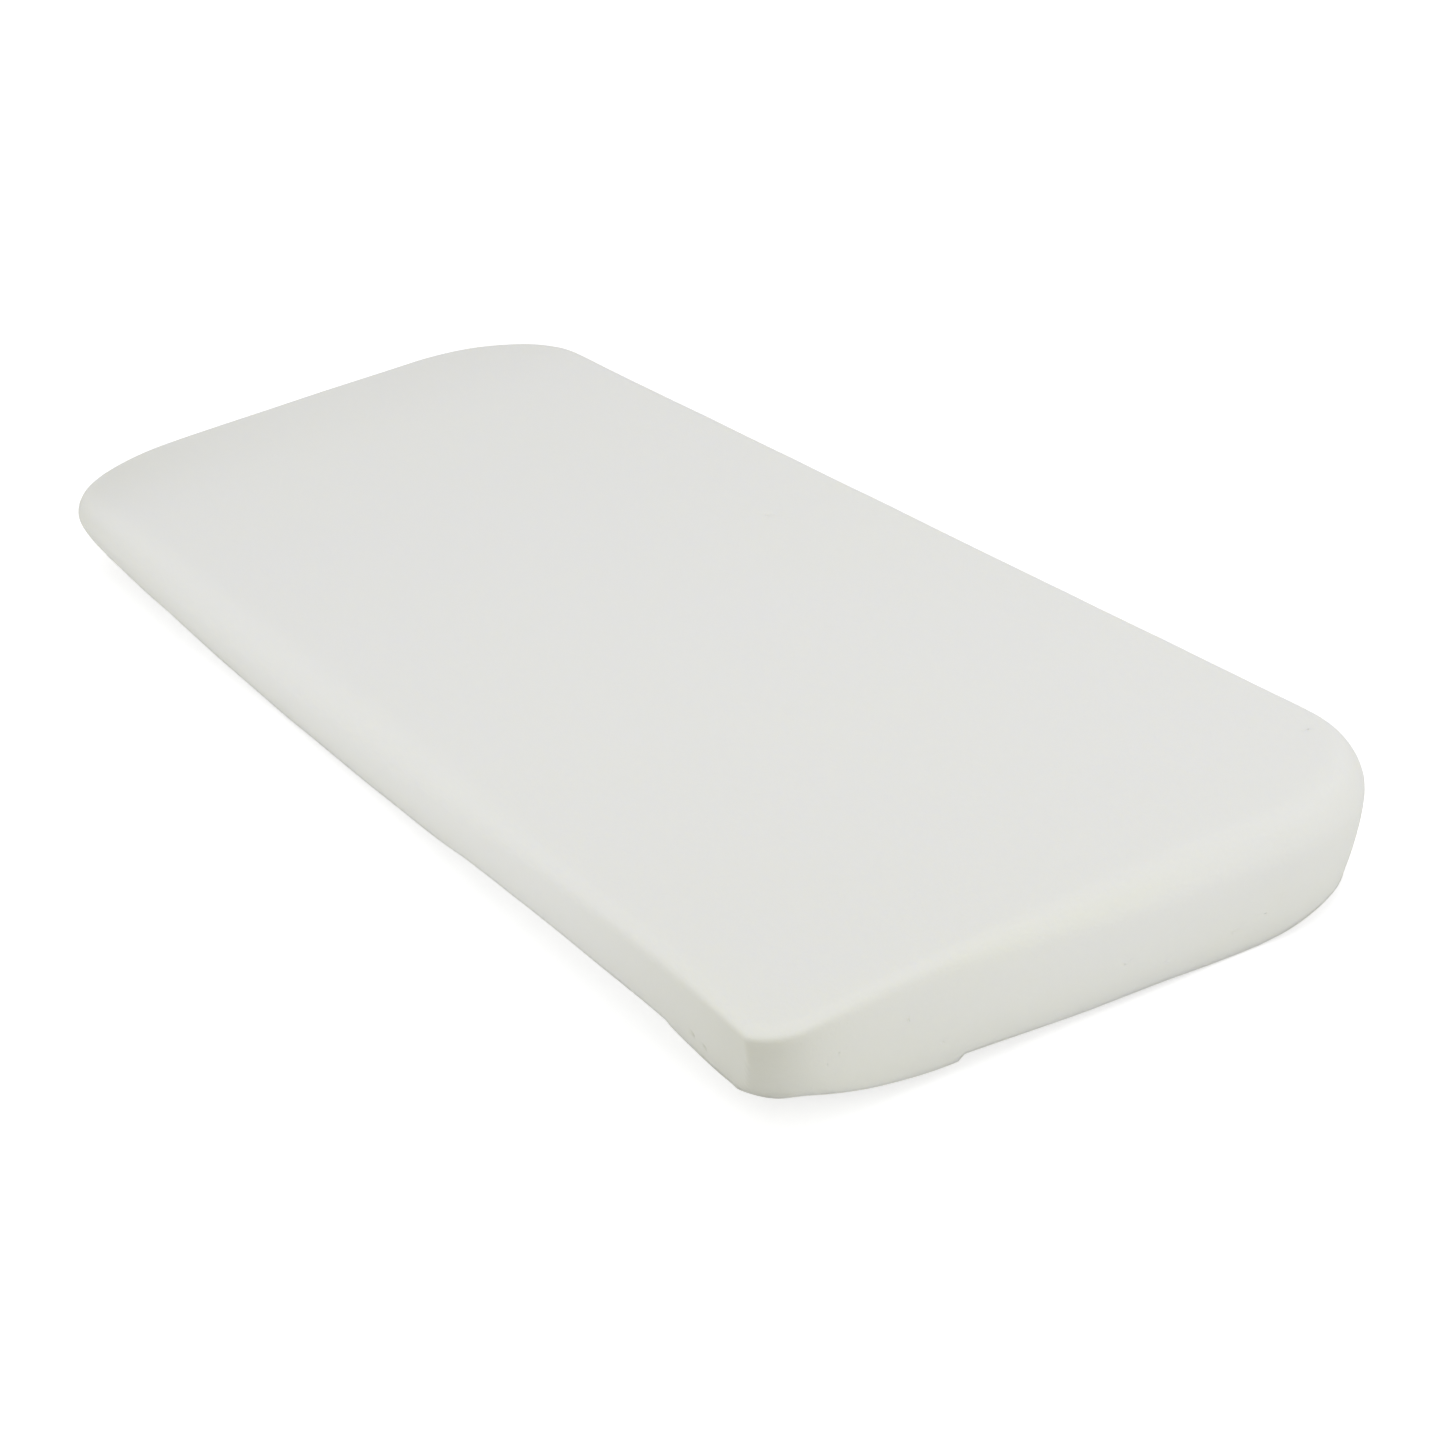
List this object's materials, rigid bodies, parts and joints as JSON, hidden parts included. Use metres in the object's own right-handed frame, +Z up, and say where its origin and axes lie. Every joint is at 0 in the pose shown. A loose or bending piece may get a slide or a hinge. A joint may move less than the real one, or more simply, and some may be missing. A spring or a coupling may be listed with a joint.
{
  "type": "memory foam mattress",
  "caption": "Small moulded memory foam mattress, bare, with a soft rounded top edge, sides curved in to a flat underside and one tight corner.",
  "frame": {"origin": "centre of the flat underside, which rests on the surface below", "axes": "+X along the length, towards the end whose left corner is tight; +Y towards the right long side as seen from that end; +Z up out of the lying surface"},
  "size_m": [0.75, 0.28, 0.05],
  "materials": {
    "skin": "matte moulded foam skin",
    "memory_foam": "matte open-cell foam",
    "support_foam": "matte open-cell foam",
    "bond": "dry adhesive film"
  },
  "bodies": {
    "root": {"moulded_skin": "skin", "memory_foam_layer": "memory_foam", "bond_film": "bond", "support_foam_layer": "support_foam", "underside_skin": "skin", "trimmed_flash": "skin"}
  },
  "joints": []
}
